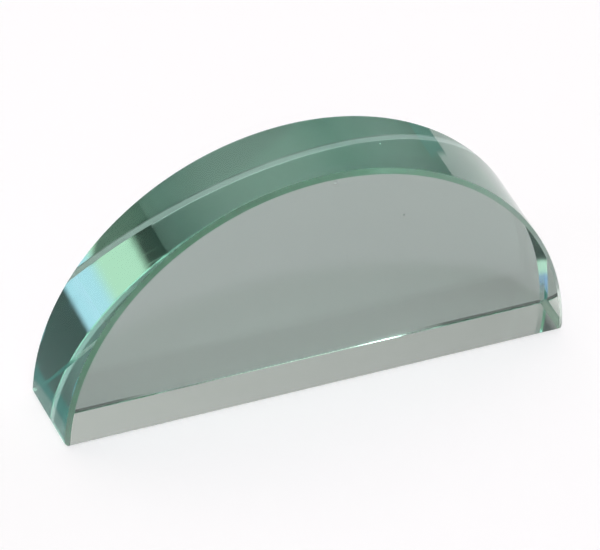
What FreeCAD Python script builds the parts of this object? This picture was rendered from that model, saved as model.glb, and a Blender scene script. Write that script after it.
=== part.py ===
import FreeCAD, Part
import os

# A semicircular glass block for ray optics: half of a round disc, standing on its flat
# diameter face, with every sharp edge taken off by a narrow flat arris.
# Millimetres, +Z up. The origin is the middle of the flat face that it stands on,
# +X runs along the diameter and +Y from the front face to the back face.

# Driving sizes
diameter = 100.0    # across the flat face, end to end
thickness = 18.0    # between the two large polished faces
arris = 0.8         # flat taken off each edge, measured along both faces that meet there

# Sizes that follow
radius = diameter / 2
half_thickness = thickness / 2


def half_round_profile():
    """The front face's outline: the straight diameter closed by a half circle above it."""
    left = FreeCAD.Vector(-radius, -half_thickness, 0)
    crown = FreeCAD.Vector(0, -half_thickness, radius)
    right = FreeCAD.Vector(radius, -half_thickness, 0)
    diameter_line = Part.LineSegment(left, right).toShape()
    half_circle = Part.Arc(right, crown, left).toShape()
    return Part.Face(Part.Wire([diameter_line, half_circle]))


def sharp_block():
    """The half disc as it is before its edges are eased."""
    return half_round_profile().extrude(FreeCAD.Vector(0, thickness, 0))


def glass_block():
    """The finished block: all edges arrissed, with mitred corners at the two ends."""
    block = sharp_block()
    return block.makeChamfer(arris, block.Edges)


os.makedirs("parts", exist_ok=True)
block = glass_block()
block.exportStep("parts/glass_block.step")
print("glass_block: valid", block.isValid(), "solids", len(block.Solids), "faces", len(block.Faces),
      "volume", round(block.Volume, 1), "mm3")
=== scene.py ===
"""The semicircular glass block, dressed and lit.

The block is a half disc of clear glass with a green tint through its depth. Its faces are polished and
its edges are taken off by narrow ground arrises. Everything is in metres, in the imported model's frame.
"""

import logging
import math
from dataclasses import dataclass, field
from enum import Enum

import bmesh
import bpy
from mathutils import Matrix, Vector


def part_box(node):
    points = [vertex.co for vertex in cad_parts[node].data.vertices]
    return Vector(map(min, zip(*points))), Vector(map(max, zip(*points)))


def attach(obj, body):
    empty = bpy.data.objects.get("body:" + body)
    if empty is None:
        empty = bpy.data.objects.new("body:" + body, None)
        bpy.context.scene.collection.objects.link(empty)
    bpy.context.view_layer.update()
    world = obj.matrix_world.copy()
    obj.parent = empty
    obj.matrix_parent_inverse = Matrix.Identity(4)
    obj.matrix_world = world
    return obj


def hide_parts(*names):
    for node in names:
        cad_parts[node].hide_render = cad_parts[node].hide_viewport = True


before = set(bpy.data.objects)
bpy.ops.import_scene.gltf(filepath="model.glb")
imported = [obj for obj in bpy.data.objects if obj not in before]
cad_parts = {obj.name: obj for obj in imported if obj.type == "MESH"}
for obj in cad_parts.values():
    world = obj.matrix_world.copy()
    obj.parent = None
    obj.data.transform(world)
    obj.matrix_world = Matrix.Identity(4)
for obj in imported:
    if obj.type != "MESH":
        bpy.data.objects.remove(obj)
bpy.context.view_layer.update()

LOG = logging.getLogger("glass_block")
MM = 0.001
# An arris slants at 45 degrees, so a part of its normal is near 0.71, which this range finds.
ARRIS_NORMAL = (0.6, 0.8)
SHARPEST_SMOOTH_EDGE = math.radians(10)
# The camera and the key lamp look at the block from the same side.
VIEW_AZIMUTH = 203.88
VIEW_ELEVATION = 39.0

Colour = tuple[float, float, float]
Socket = bpy.types.NodeSocket
Tree = bpy.types.NodeTree


class FaceKind(Enum):
    """How a face is finished: its roughness, and its clearness, the share of light that it lets through."""

    POLISHED = (0.0, 1.0)
    SMOOTHED = (0.1, 1.0)
    GROUND = (0.5, 0.9)
    # The two base arrises below are darkened by a low clearness, which is painted shade on the lines that
    # they show.
    GROUND_WITH_PAINTED_SHADE = (0.5, 0.3)
    SMOOTH_WITH_PAINTED_SHADE = (0.06, 0.13)


def direction(azimuth: float, elevation: float) -> Vector:
    """Turn two angles into a direction.

    Args:
        azimuth: The angle from +Y towards +X, in degrees.
        elevation: The angle above the floor, in degrees.

    Returns:
        A vector one metre long.
    """
    az, el = math.radians(azimuth), math.radians(elevation)
    return Vector((math.sin(az) * math.cos(el), math.cos(az) * math.cos(el), math.sin(el)))


def new_material(name: str) -> tuple[bpy.types.Material, Tree]:
    """Make a material with an empty node tree.

    Args:
        name: The material's name.

    Returns:
        The material and its node tree.
    """
    material = bpy.data.materials.new(name)
    material.use_nodes = True
    material.node_tree.nodes.clear()
    return material, material.node_tree


def add_node(tree: Tree, kind: str, **settings: object) -> bpy.types.Node:
    """Add a node and set its properties.

    Args:
        tree: The node tree that gets the node.
        kind: The node's type name, such as "ShaderNodeMath".
        **settings: Properties of the node, by name.

    Returns:
        The new node.
    """
    node = tree.nodes.new(kind)
    for name, value in settings.items():
        setattr(node, name, value)
    return node


def calculate(tree: Tree, operation: str, *values: Socket | float) -> Socket:
    """Do a sum with a math node.

    Args:
        tree: The node tree.
        operation: The math node's operation.
        *values: What goes in, each an output socket or a number.

    Returns:
        The result.
    """
    node = add_node(tree, "ShaderNodeMath", operation=operation)
    for slot, value in zip(node.inputs, values):
        if isinstance(value, Socket):
            tree.links.new(value, slot)
        else:
            slot.default_value = value
    return node.outputs["Value"]


def remap(tree: Tree, value: Socket, zero_at: float, one_at: float, top: float = 1.0) -> Socket:
    """Turn a range of values softly into 0 to 1.

    Args:
        tree: The node tree.
        value: The value.
        zero_at: The value that becomes 0.
        one_at: The value that becomes 1.
        top: What stands in for 1 where the result should stay lower.

    Returns:
        The result.
    """
    node = add_node(tree, "ShaderNodeMapRange", interpolation_type="SMOOTHSTEP")
    node.inputs["From Min"].default_value = zero_at
    node.inputs["From Max"].default_value = one_at
    node.inputs["To Max"].default_value = top
    tree.links.new(value, node.inputs["Value"])
    return node.outputs["Result"]


def split(tree: Tree, vector: Socket) -> bpy.types.NodeOutputs:
    """Take a vector apart.

    Args:
        tree: The node tree.
        vector: The vector.

    Returns:
        Its parts, as the outputs X, Y and Z.
    """
    parts = add_node(tree, "ShaderNodeSeparateXYZ")
    tree.links.new(vector, parts.inputs["Vector"])
    return parts.outputs


def noise(tree: Tree, place: Socket, per_metre: float, detail: float = 2.0) -> Socket:
    """Make a cloudy noise.

    Args:
        tree: The node tree.
        place: Where it is read.
        per_metre: How many clouds lie along a metre.
        detail: How many finer layers it has.

    Returns:
        A value round 0.5.
    """
    clouds = add_node(tree, "ShaderNodeTexNoise")
    clouds.inputs["Scale"].default_value = per_metre
    clouds.inputs["Detail"].default_value = detail
    tree.links.new(place, clouds.inputs["Vector"])
    return clouds.outputs["Fac"]


def add_colour(tree: Tree, colour: Colour) -> Socket:
    """Add a plain colour.

    Args:
        tree: The node tree.
        colour: The colour.

    Returns:
        The colour's output.
    """
    node = add_node(tree, "ShaderNodeRGB")
    node.outputs["Color"].default_value = (*colour, 1.0)
    return node.outputs["Color"]


def mix_colours(tree: Tree, blend: str, factor: Socket, first: Socket, second: Socket) -> Socket:
    """Blend two colours.

    Args:
        tree: The node tree.
        blend: The mix node's blend type.
        factor: How much of the second colour comes in.
        first: The first colour.
        second: The second colour.

    Returns:
        The blended colour.
    """
    node = add_node(tree, "ShaderNodeMix", data_type="RGBA", blend_type=blend)
    first_slot, second_slot = [slot for slot in node.inputs if slot.type == "RGBA"]
    tree.links.new(factor, node.inputs["Factor"])
    tree.links.new(first, first_slot)
    tree.links.new(second, second_slot)
    return next(slot for slot in node.outputs if slot.type == "RGBA")


@dataclass(frozen=True)
class Speck:
    """A speck on the front face, with its place and its radius in metres."""

    x: float
    z: float
    radius: float

    def draw(self, tree: Tree, place: Socket) -> Socket:
        """Draw the speck.

        Args:
            tree: The node group.
            place: The point on the block.

        Returns:
            A value that is 1 in the speck and 0 outside it.
        """
        flat = add_node(tree, "ShaderNodeVectorMath", operation="MULTIPLY")
        flat.inputs[1].default_value = (1.0, 0.0, 1.0)
        away = add_node(tree, "ShaderNodeVectorMath", operation="DISTANCE")
        away.inputs[1].default_value = (self.x, 0.0, self.z)
        tree.links.new(place, flat.inputs[0])
        tree.links.new(flat.outputs["Vector"], away.inputs[0])
        spot = remap(tree, away.outputs["Value"], self.radius, self.radius / 2)
        in_front = calculate(tree, "LESS_THAN", split(tree, place)["Y"], 0.0)
        return calculate(tree, "MULTIPLY", spot, in_front)


@dataclass(frozen=True)
class GlassWearAndPaintedShade:
    """The small marks of use on the glass.

    They are a faint haze, fine dust, hairline scratches, two specks on the front face and the grain of the
    ground arrises. The back base arris keeps its painted shade everywhere but in its middle. Each grain of
    dust lies in a cell of its own, and its size and soft edge are shares of that cell.
    """

    haze_per_metre: float = 45.0
    haze_detail: float = 4.0
    haze_range: tuple[float, float] = (0.52, 0.75)
    haze_roughness: float = 0.012
    dust_per_metre: float = 420.0
    dust_share: float = 0.07
    dust_size: float = 0.07
    dust_edge: float = 0.02
    dust_roughness: float = 0.35
    dust_shade: float = 0.35
    specks: tuple[Speck, ...] = (
        Speck(1.9 * MM, 48.5 * MM, 0.45 * MM),
        Speck(15.9 * MM, 37.1 * MM, 0.35 * MM),
    )
    scratch_per_metre: float = 1500.0
    scratch_stretch: float = 0.02
    scratch_turn: float = 0.6
    scratch_range: tuple[float, float] = (0.74, 0.8)
    scratch_roughness: float = 0.06
    scratch_depth: float = 0.02
    grain_per_metre: float = 5000.0
    relief_depth: float = 0.02 * MM
    # The back base arris keeps no painted shade near the centre, and all of it beyond the last distance.
    unshaded_centre: float = -3.0 * MM
    unshaded_half: float = 25.0 * MM
    fully_shaded_beyond: float = 35.0 * MM

    def build(self) -> Tree:
        """Make the wear and the painted shade as a node group.

        Returns:
            A group that turns a place and the finish there into the worn finish with the painted shade, and
            its relief.
        """
        tree = bpy.data.node_groups.new("glass_wear_and_painted_shade", "ShaderNodeTree")
        for name, kind in (("Place", "Vector"), ("Roughness", "Float"), ("Clearness", "Float")):
            tree.interface.new_socket(name, in_out="INPUT", socket_type="NodeSocket" + kind)
        for name, kind in (("Roughness", "Float"), ("Colour", "Color"), ("Relief", "Float")):
            tree.interface.new_socket(name, in_out="OUTPUT", socket_type="NodeSocket" + kind)
        given = add_node(tree, "NodeGroupInput").outputs
        result = add_node(tree, "NodeGroupOutput").inputs
        place = given["Place"]
        dust = self.dust(tree, place)
        for speck in self.specks:
            dust = calculate(tree, "MAXIMUM", dust, speck.draw(tree, place))
        scratch = self.scratch(tree, place)
        haze = noise(tree, place, self.haze_per_metre, self.haze_detail)
        rough = remap(tree, haze, *self.haze_range, self.haze_roughness)
        rough = calculate(tree, "MULTIPLY_ADD", scratch, self.scratch_roughness, rough)
        rough = calculate(tree, "MULTIPLY_ADD", dust, self.dust_roughness, rough)
        rough = calculate(tree, "MAXIMUM", rough, given["Roughness"])
        # Painted shade: the back base arris stays darkened by its low clearness everywhere but in its
        # middle.
        clear = calculate(tree, "MAXIMUM", given["Clearness"], self.unshaded_middle(tree, place))
        clear = calculate(tree, "MULTIPLY_ADD", dust, -self.dust_shade, clear)
        grain = noise(tree, place, self.grain_per_metre)
        relief = calculate(tree, "MULTIPLY", grain, given["Roughness"])
        relief = calculate(tree, "MULTIPLY_ADD", scratch, -self.scratch_depth, relief)
        tree.links.new(rough, result["Roughness"])
        tree.links.new(clear, result["Colour"])
        tree.links.new(relief, result["Relief"])
        return tree

    def dust(self, tree: Tree, place: Socket) -> Socket:
        """Scatter fine grains of dust.

        Args:
            tree: The node group.
            place: The point on the block.

        Returns:
            A value that is 1 in a grain and 0 outside it.
        """
        cells = add_node(tree, "ShaderNodeTexVoronoi")
        cells.inputs["Scale"].default_value = self.dust_per_metre
        tree.links.new(place, cells.inputs["Vector"])
        chance = split(tree, cells.outputs["Color"])["X"]
        size = remap(tree, chance, 1.0 - self.dust_share, 1.0, self.dust_size)
        inside = calculate(tree, "SUBTRACT", size, cells.outputs["Distance"])
        return remap(tree, inside, 0.0, self.dust_edge)

    def scratch(self, tree: Tree, place: Socket) -> Socket:
        """Draw hairline scratches along the faces.

        Args:
            tree: The node group.
            place: The point on the block.

        Returns:
            A value from 0 to 1.
        """
        turned = add_node(tree, "ShaderNodeMapping")
        turned.inputs["Rotation"].default_value = (0.0, self.scratch_turn, 0.0)
        turned.inputs["Scale"].default_value = (self.scratch_stretch, 1.0, 1.0)
        tree.links.new(place, turned.inputs["Vector"])
        streaks = noise(tree, turned.outputs["Vector"], self.scratch_per_metre, 0.0)
        return remap(tree, streaks, *self.scratch_range)

    def unshaded_middle(self, tree: Tree, place: Socket) -> Socket:
        """Leave the painted shade of the back base arris out of its middle, where the glint shows.

        Args:
            tree: The node group.
            place: The point on the block.

        Returns:
            A value that falls from 1 in the middle to 0 at both ends, and is 0 in front.
        """
        parts = split(tree, place)
        away = calculate(tree, "ABSOLUTE", calculate(tree, "SUBTRACT", parts["X"], self.unshaded_centre))
        middle = remap(tree, away, self.fully_shaded_beyond, self.unshaded_half)
        return calculate(tree, "MULTIPLY", middle, calculate(tree, "GREATER_THAN", parts["Y"], 0.0))


@dataclass(frozen=True)
class TintedGlass:
    """Clear glass, polished on its faces and ground on its arrises, with a green tint in its depth."""

    ior: float = 1.52
    tint: Colour = (0.0, 0.88, 0.585)
    tint_per_metre: float = 8.2
    wear: GlassWearAndPaintedShade = field(default_factory=GlassWearAndPaintedShade)

    def build(self) -> bpy.types.Material:
        """Make the glass material.

        Returns:
            A material whose roughness and clearness follow the mesh's own attributes.
        """
        material, tree = new_material("tinted_glass")
        shader = add_node(tree, "ShaderNodeBsdfPrincipled")
        shader.inputs["Transmission Weight"].default_value = 1.0
        shader.inputs["IOR"].default_value = self.ior
        wear = add_node(tree, "ShaderNodeGroup", node_tree=self.wear.build())
        place = add_node(tree, "ShaderNodeTexCoord")
        tree.links.new(place.outputs["Object"], wear.inputs["Place"])
        for name in ("Roughness", "Clearness"):
            finish = add_node(tree, "ShaderNodeAttribute", attribute_name=name.lower())
            tree.links.new(finish.outputs["Fac"], wear.inputs[name])
        bump = add_node(tree, "ShaderNodeBump")
        bump.inputs["Distance"].default_value = self.wear.relief_depth
        tree.links.new(wear.outputs["Relief"], bump.inputs["Height"])
        tree.links.new(wear.outputs["Roughness"], shader.inputs["Roughness"])
        tree.links.new(wear.outputs["Colour"], shader.inputs["Base Color"])
        tree.links.new(bump.outputs["Normal"], shader.inputs["Normal"])
        depth = add_node(tree, "ShaderNodeVolumeAbsorption")
        depth.inputs["Color"].default_value = (*self.tint, 1.0)
        depth.inputs["Density"].default_value = self.tint_per_metre
        output = add_node(tree, "ShaderNodeOutputMaterial")
        tree.links.new(shader.outputs["BSDF"], output.inputs["Surface"])
        tree.links.new(depth.outputs["Volume"], output.inputs["Volume"])
        return material


@dataclass(frozen=True)
class PaleFloor:
    """The matt pale surface that the block stands on."""

    colour: Colour = (0.98, 0.98, 0.98)
    roughness: float = 1.0

    def build(self) -> bpy.types.Material:
        """Make the floor's material.

        Returns:
            A plain matt material.
        """
        material, tree = new_material("pale_floor")
        shader = add_node(tree, "ShaderNodeBsdfPrincipled")
        shader.inputs["Base Color"].default_value = (*self.colour, 1.0)
        shader.inputs["Roughness"].default_value = self.roughness
        shader.inputs["Specular IOR Level"].default_value = 0.0
        output = add_node(tree, "ShaderNodeOutputMaterial")
        tree.links.new(shader.outputs["BSDF"], output.inputs["Surface"])
        return material


@dataclass(frozen=True)
class GlowingCard:
    """What a card shines like: one colour at its foot, another at its head, and a soft rounded edge."""

    name: str
    foot: Colour
    head: Colour
    change: tuple[float, float] = (0.4, 0.6)
    soft_edge: float = 0.1
    cover: float = 1.0

    @classmethod
    def even(cls, name: str, colour: Colour, **details: float) -> "GlowingCard":
        """Choose one colour for the whole card.

        Args:
            name: The material's name.
            colour: The colour.
            **details: Other fields, by name.

        Returns:
            The card's finish.
        """
        return cls(name, foot=colour, head=colour, **details)

    def build(self) -> bpy.types.Material:
        """Make the card's material.

        Returns:
            An emission material graded along the card's height, which fades out at the card's edges.
        """
        material, tree = new_material(self.name)
        place = add_node(tree, "ShaderNodeUVMap", uv_map="card").outputs["UV"]
        height = remap(tree, split(tree, place)["Y"], *self.change)
        glow = add_node(tree, "ShaderNodeEmission")
        foot, head = (add_colour(tree, colour) for colour in (self.foot, self.head))
        tree.links.new(mix_colours(tree, "MIX", height, foot, head), glow.inputs["Color"])
        clear = add_node(tree, "ShaderNodeBsdfTransparent")
        mix = add_node(tree, "ShaderNodeMixShader")
        output = add_node(tree, "ShaderNodeOutputMaterial")
        tree.links.new(self.fade(tree, place), mix.inputs["Fac"])
        tree.links.new(clear.outputs["BSDF"], mix.inputs[1])
        tree.links.new(glow.outputs["Emission"], mix.inputs[2])
        tree.links.new(mix.outputs["Shader"], output.inputs["Surface"])
        return material

    def fade(self, tree: Tree, place: Socket) -> Socket:
        """Measure how far a point lies inside the card's rounded edge.

        Args:
            tree: The card's node tree.
            place: The point's place on the card, from 0 to 1 both ways.

        Returns:
            A value that falls from the card's cover in its middle to 0 at its edge.
        """
        middle = 0.5
        inner = middle - self.soft_edge
        centred = add_node(tree, "ShaderNodeVectorMath", operation="SUBTRACT")
        centred.inputs[1].default_value = (middle, middle, 0.0)
        outward = add_node(tree, "ShaderNodeVectorMath", operation="ABSOLUTE")
        beyond = add_node(tree, "ShaderNodeVectorMath", operation="SUBTRACT")
        beyond.inputs[1].default_value = (inner, inner, 0.0)
        kept = add_node(tree, "ShaderNodeVectorMath", operation="MAXIMUM")
        distance = add_node(tree, "ShaderNodeVectorMath", operation="LENGTH")
        steps = (centred, outward, beyond, kept, distance)
        tree.links.new(place, centred.inputs[0])
        for step, following in zip(steps, steps[1:]):
            tree.links.new(step.outputs["Vector"], following.inputs[0])
        return remap(tree, distance.outputs["Value"], self.soft_edge, 0.0, self.cover)


@dataclass
class HalfRoundBlock:
    """The block itself: a half disc with every edge taken off by an arris."""

    thickness: float
    radius: float
    arris: float = 0.8 * MM
    back_base_arris: float = 0.45 * MM
    arc_segments: int = 1024
    finish: TintedGlass = field(default_factory=TintedGlass)

    @classmethod
    def from_frame(cls, node: str) -> "HalfRoundBlock":
        """Take the block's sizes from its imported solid.

        Args:
            node: The solid's name.

        Returns:
            A block of the same thickness and height.
        """
        low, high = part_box(node)
        return cls(thickness=high.y - low.y, radius=high.z - low.z)

    def rim(self) -> list[tuple[float, float]]:
        """Give the disc's section.

        Returns:
            Its corners as (y, radius), from the front face to the back face.
        """
        half = self.thickness / 2
        return [
            (-half, self.radius - self.arris),
            (-half + self.arris, self.radius),
            (half - self.arris, self.radius),
            (half, self.radius - self.arris),
        ]

    def full_disc(self) -> bmesh.types.BMesh:
        """Build the whole disc with arrised rims.

        Returns:
            A closed mesh round the Y axis, centred on the origin.
        """
        disc = bmesh.new()
        turns = [2 * math.pi * (i + 0.5) / self.arc_segments for i in range(self.arc_segments)]
        rings = [
            [disc.verts.new((r * math.cos(t), y, r * math.sin(t))) for t in turns] for y, r in self.rim()
        ]
        for front, back in zip(rings, rings[1:]):
            for i in range(self.arc_segments):
                j = (i + 1) % self.arc_segments
                disc.faces.new((front[i], front[j], back[j], back[i])).smooth = True
        disc.faces.new(rings[0])
        disc.faces.new(rings[-1])
        bmesh.ops.recalc_face_normals(disc, faces=disc.faces)
        return disc

    def cuts(self) -> list[tuple[Vector, Vector]]:
        """List the flat cuts that turn the disc into the block: the base and its four arrises.

        Returns:
            A point on each cut and its outward normal.
        """
        half = self.thickness / 2
        foot = self.radius - self.arris
        return [
            (Vector((0, 0, 0)), Vector((0, 0, -1))),
            (Vector((0, -half + self.arris, 0)), Vector((0, -1, -1))),
            (Vector((0, half - self.back_base_arris, 0)), Vector((0, 1, -1))),
            (Vector((-foot, 0, 0)), Vector((-1, 0, -1))),
            (Vector((foot, 0, 0)), Vector((1, 0, -1))),
        ]

    def build(self) -> bpy.types.Object:
        """Build and dress the block.

        Returns:
            The finished piece, in place.
        """
        block = self.full_disc()
        for point, normal in self.cuts():
            cut = bmesh.ops.bisect_plane(
                block,
                geom=[*block.verts, *block.edges, *block.faces],
                plane_co=point,
                plane_no=normal,
                clear_outer=True,
            )
            edges = [e for e in cut["geom_cut"] if isinstance(e, bmesh.types.BMEdge)]
            bmesh.ops.contextual_create(block, geom=edges)
        bmesh.ops.recalc_face_normals(block, faces=block.faces)
        self.mark_finish(block)
        mesh = bpy.data.meshes.new("glass_block_body")
        block.to_mesh(mesh)
        block.free()
        piece = bpy.data.objects.new("glass_block_body", mesh)
        bpy.context.scene.collection.objects.link(piece)
        mesh.materials.append(self.finish.build())
        return piece

    @staticmethod
    def finish_of(normal: Vector) -> FaceKind:
        """Tell how a face is finished from the way it faces.

        Args:
            normal: The face's outward normal.

        Returns:
            Ground with painted shade for the base's front arris, smooth with painted shade for its back one
            and ground for those at its ends, ground for the arc's front arris, smoothed for its back one,
            and polished for the rest.
        """
        slanted = ARRIS_NORMAL[0] < abs(normal.y) < ARRIS_NORMAL[1]
        if -ARRIS_NORMAL[1] < normal.z < -ARRIS_NORMAL[0]:
            if not slanted:
                return FaceKind.GROUND
            return FaceKind.GROUND_WITH_PAINTED_SHADE if normal.y < 0 else FaceKind.SMOOTH_WITH_PAINTED_SHADE
        if slanted:
            return FaceKind.GROUND if normal.y < 0 else FaceKind.SMOOTHED
        return FaceKind.POLISHED

    def mark_finish(self, block: bmesh.types.BMesh) -> None:
        """Write each face's finish into the mesh, and mark each edge between two surfaces as sharp.

        Args:
            block: The block's mesh.
        """
        block.faces.layers.float.new("roughness")
        block.faces.layers.float.new("clearness")
        # A new layer makes an older handle stale, so both are looked up once they exist.
        roughness = block.faces.layers.float["roughness"]
        clearness = block.faces.layers.float["clearness"]
        for face in block.faces:
            face[roughness], face[clearness] = self.finish_of(face.normal).value
        for edge in block.edges:
            edge.smooth = edge.calc_face_angle(math.pi) < SHARPEST_SMOOTH_EDGE


@dataclass(frozen=True)
class SoftLamp:
    """A distant round lamp, soft at the edge of its shadows, with its place and width in degrees."""

    name: str
    azimuth: float
    elevation: float
    width: float
    floor_light: Colour
    through_glass: bool = False

    def build(self) -> None:
        """Hang the lamp so that it gives the floor its share of light."""
        towards = direction(self.azimuth, self.elevation)
        brightest = max(self.floor_light)
        light = bpy.data.lights.new(self.name, "SUN")
        light.energy = brightest * math.pi / towards.z
        light.color = tuple(part / brightest for part in self.floor_light)
        light.angle = math.radians(self.width)
        lamp = bpy.data.objects.new(self.name, light)
        bpy.context.scene.collection.objects.link(lamp)
        lamp.rotation_mode = "QUATERNION"
        lamp.rotation_quaternion = (-towards).to_track_quat("-Z", "Y")
        lamp.visible_camera = False
        lamp.visible_glossy = False
        lamp.visible_transmission = self.through_glass


@dataclass(frozen=True)
class SoftPatch:
    """A broad patch of light on the room's walls or ceiling, with its place and reach in degrees.

    It is brightest in its middle and fades out at its reach.
    """

    name: str
    azimuth: float
    elevation: float
    reach: float
    colour: Colour


@dataclass(frozen=True)
class SoftRoom:
    """The room's own light: dim all round, with a few broad patches of light."""

    dim: Colour = (0.025, 0.038, 0.038)
    patches: tuple[SoftPatch, ...] = (
        SoftPatch("far_ceiling", 2.0, 63.5, 38.0, (0.93, 0.835, 0.815)),
        SoftPatch("near_ceiling", 196.0, 50.0, 33.0, (0.72, 0.80, 0.72)),
        SoftPatch("right_wall", 66.0, 24.0, 31.0, (0.60, 0.48, 0.54)),
        SoftPatch("left_wall", 316.0, 6.0, 31.0, (0.62, 0.72, 0.56)),
    )

    def build(self) -> bpy.types.World:
        """Make the world.

        Returns:
            A world lit by the patches.
        """
        world = bpy.data.worlds.new("room")
        world.use_nodes = True
        tree = world.node_tree
        place = add_node(tree, "ShaderNodeTexCoord").outputs["Generated"]
        light = add_colour(tree, self.dim)
        for patch in self.patches:
            nearness = add_node(tree, "ShaderNodeVectorMath", operation="DOT_PRODUCT", label=patch.name)
            nearness.inputs[1].default_value = direction(patch.azimuth, patch.elevation)
            tree.links.new(place, nearness.inputs[0])
            share = remap(tree, nearness.outputs["Value"], math.cos(math.radians(patch.reach)), 1.0)
            light = mix_colours(tree, "ADD", share, light, add_colour(tree, patch.colour))
        tree.links.new(light, tree.nodes["Background"].inputs["Color"])
        return world


@dataclass(frozen=True)
class Card:
    """A curved card round the block that stands for a light of the room, or keeps the room's light away.

    Its two sides are azimuths and its foot and head are elevations, in degrees.
    """

    name: str
    azimuth: tuple[float, float]
    elevation: tuple[float, float]
    distance: float
    finish: GlowingCard
    columns: int = 48

    def build(self) -> None:
        """Hang the card, seen only in and through the glass."""
        start, end = self.azimuth
        turns = [start + (end - start) * i / self.columns for i in range(self.columns + 1)]
        vertices = [direction(az, el) * self.distance for el in self.elevation for az in turns]
        row = self.columns + 1
        faces = [(i, i + 1, row + i + 1, row + i) for i in range(self.columns)]
        mesh = bpy.data.meshes.new(self.name)
        mesh.from_pydata(vertices, [], faces)
        across = mesh.uv_layers.new(name="card")
        for loop in mesh.loops:
            level, column = divmod(loop.vertex_index, row)
            across.data[loop.index].uv = (column / self.columns, level)
        card = bpy.data.objects.new(self.name, mesh)
        bpy.context.scene.collection.objects.link(card)
        mesh.materials.append(self.finish.build())
        card.visible_camera = False
        card.visible_diffuse = False
        card.visible_shadow = False


WINDOW_DISTANCE = 3.0
FLAG_DISTANCE = 0.2
# The close flag hides part of the front window from the upper side of the curve only.
CLOSE_FLAG_DISTANCE = 65.0 * MM
# The veil stands just off the curve, so it hides only the floor that the left end mirrors.
VEIL_DISTANCE = 52.5 * MM
FRONT_WINDOW_LIGHT = GlowingCard(
    "front_window_light", foot=(0.95, 0.86, 1.25), head=(1.05, 0.87, 0.80), soft_edge=0.12
)
SIDE_WINDOW_LIGHT = GlowingCard(
    "side_window_light", foot=(0.5, 0.42, 0.85), head=(1.1, 0.85, 0.85), change=(0.65, 0.78)
)
CEILING_TUBE_LIGHT = GlowingCard.even("ceiling_tube_light", (8.5, 8.0, 8.0), soft_edge=0.3)
DARK_FLAG_LIGHT = GlowingCard.even("dark_flag_light", (0.0, 0.14, 0.15))
GREY_FLAG_LIGHT = GlowingCard.even("grey_flag_light", (0.15, 0.15, 0.14))
VEIL_LIGHT = GlowingCard.even("veil_light", (0.0, 0.3, 0.32), cover=0.5)


@dataclass(frozen=True)
class Studio:
    """The plain studio round the block.

    It has a floor, lamps, the light of two windows and of a ceiling tube, three flags and a thin veil.
    """

    floor_size: float = 8.0
    floor_drop: float = 0.05 * MM
    cards: tuple[Card, ...] = (
        Card("front_window", (126.0, 172.0), (18.5, 32.6), WINDOW_DISTANCE, FRONT_WINDOW_LIGHT),
        Card("side_window", (244.0, 268.0), (4.0, 23.0), WINDOW_DISTANCE, SIDE_WINDOW_LIGHT),
        Card("ceiling_tube", (-26.0, 6.0), (46.8, 52.0), WINDOW_DISTANCE, CEILING_TUBE_LIGHT),
        Card("right_flag", (126.0, 148.0), (-2.0, 15.0), FLAG_DISTANCE, DARK_FLAG_LIGHT),
        Card("back_flag", (44.0, 50.5), (7.5, 16.5), FLAG_DISTANCE, DARK_FLAG_LIGHT),
        Card("upper_flag", (118.5, 132.0), (55.3, 63.0), CLOSE_FLAG_DISTANCE, GREY_FLAG_LIGHT),
        Card("left_veil", (258.0, 291.0), (0.1, 31.0), VEIL_DISTANCE, VEIL_LIGHT),
    )
    lamps: tuple[SoftLamp, ...] = (
        SoftLamp("key_lamp", VIEW_AZIMUTH, VIEW_ELEVATION, 1.5, (0.64, 0.625, 0.64)),
        SoftLamp("ceiling_lamp", 184.7, 63.8, 6.0, (0.05, 0.04, 0.05), through_glass=True),
        SoftLamp("side_lamp", 254.0, 41.0, 6.0, (0.01, 0.01, 0.01), through_glass=True),
    )

    def build(self) -> None:
        """Set up the floor, the world, the cards and the lamps."""
        self.add_floor()
        bpy.context.scene.world = SoftRoom().build()
        for item in (*self.cards, *self.lamps):
            item.build()

    def add_floor(self) -> None:
        """Lay the floor just under the block."""
        mesh = bpy.data.meshes.new("floor")
        half = self.floor_size / 2
        z = -self.floor_drop
        corners = [(-half, -half, z), (half, -half, z), (half, half, z), (-half, half, z)]
        mesh.from_pydata(corners, [], [(0, 1, 2, 3)])
        floor = bpy.data.objects.new("floor", mesh)
        bpy.context.scene.collection.objects.link(floor)
        mesh.materials.append(PaleFloor().build())


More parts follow.
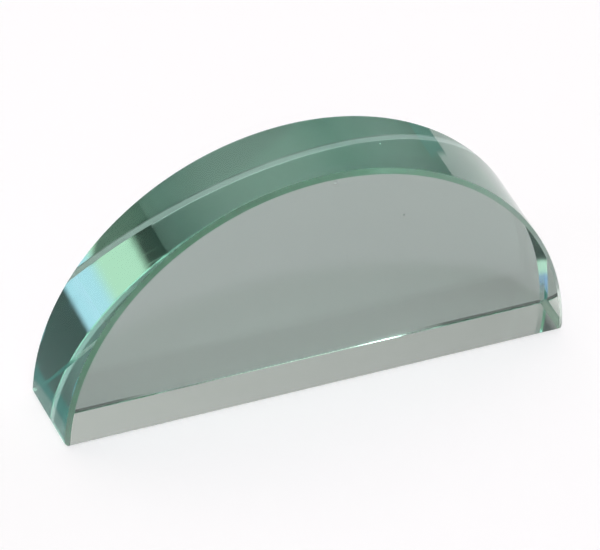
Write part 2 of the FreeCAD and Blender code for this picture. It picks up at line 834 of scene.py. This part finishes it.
@dataclass(frozen=True)
class ProductCamera:
    """A long lens that looks down on the block from its left, with its angles in degrees."""

    azimuth: float = VIEW_AZIMUTH
    elevation: float = VIEW_ELEVATION
    roll: float = 2.36
    distance: float = 1.5
    lens: float = 487.5
    aim: tuple[float, float, float] = (0.0, 0.0, 0.025)
    slide_right: float = -0.57 * MM
    slide_up: float = -3.51 * MM
    clip_end: float = 20.0

    def build(self) -> None:
        """Add the camera and make it the scene's own."""
        back = direction(self.azimuth, self.elevation)
        roll = math.radians(self.roll)
        level = (-back).cross(Vector((0, 0, 1))).normalized()
        rise = level.cross(-back)
        right = math.cos(roll) * level + math.sin(roll) * rise
        up = -math.sin(roll) * level + math.cos(roll) * rise
        data = bpy.data.cameras.new("product_camera")
        data.lens = self.lens
        data.clip_end = self.clip_end
        camera = bpy.data.objects.new("product_camera", data)
        bpy.context.scene.collection.objects.link(camera)
        place = Vector(self.aim) + back * self.distance + right * self.slide_right + up * self.slide_up
        camera.matrix_world = Matrix.Translation(place) @ Matrix((right, up, back)).transposed().to_4x4()
        bpy.context.scene.camera = camera


def set_rendering(turns_in_glass: int = 48, turns_between_surfaces: int = 4) -> None:
    """Let light take its many turns inside the glass, and show colours as they are written.

    Args:
        turns_in_glass: How often light may bend or be mirrored.
        turns_between_surfaces: How often light may be scattered by matt surfaces.
    """
    cycles = bpy.context.scene.cycles
    cycles.max_bounces = turns_in_glass
    cycles.transmission_bounces = turns_in_glass
    cycles.glossy_bounces = turns_in_glass
    cycles.diffuse_bounces = turns_between_surfaces
    cycles.use_denoising = True
    cycles.sample_clamp_indirect = 0.0
    bpy.context.scene.view_settings.view_transform = "Standard"


def main() -> None:
    """Build the block and its studio."""
    logging.basicConfig(level=logging.INFO, format="%(name)s: %(message)s")
    set_rendering()
    piece = HalfRoundBlock.from_frame("glass_block").build()
    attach(piece, "root")
    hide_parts("glass_block")
    LOG.info("%s: %d faces", piece.name, len(piece.data.polygons))
    Studio().build()
    ProductCamera().build()


if __name__ == "__main__":
    main()
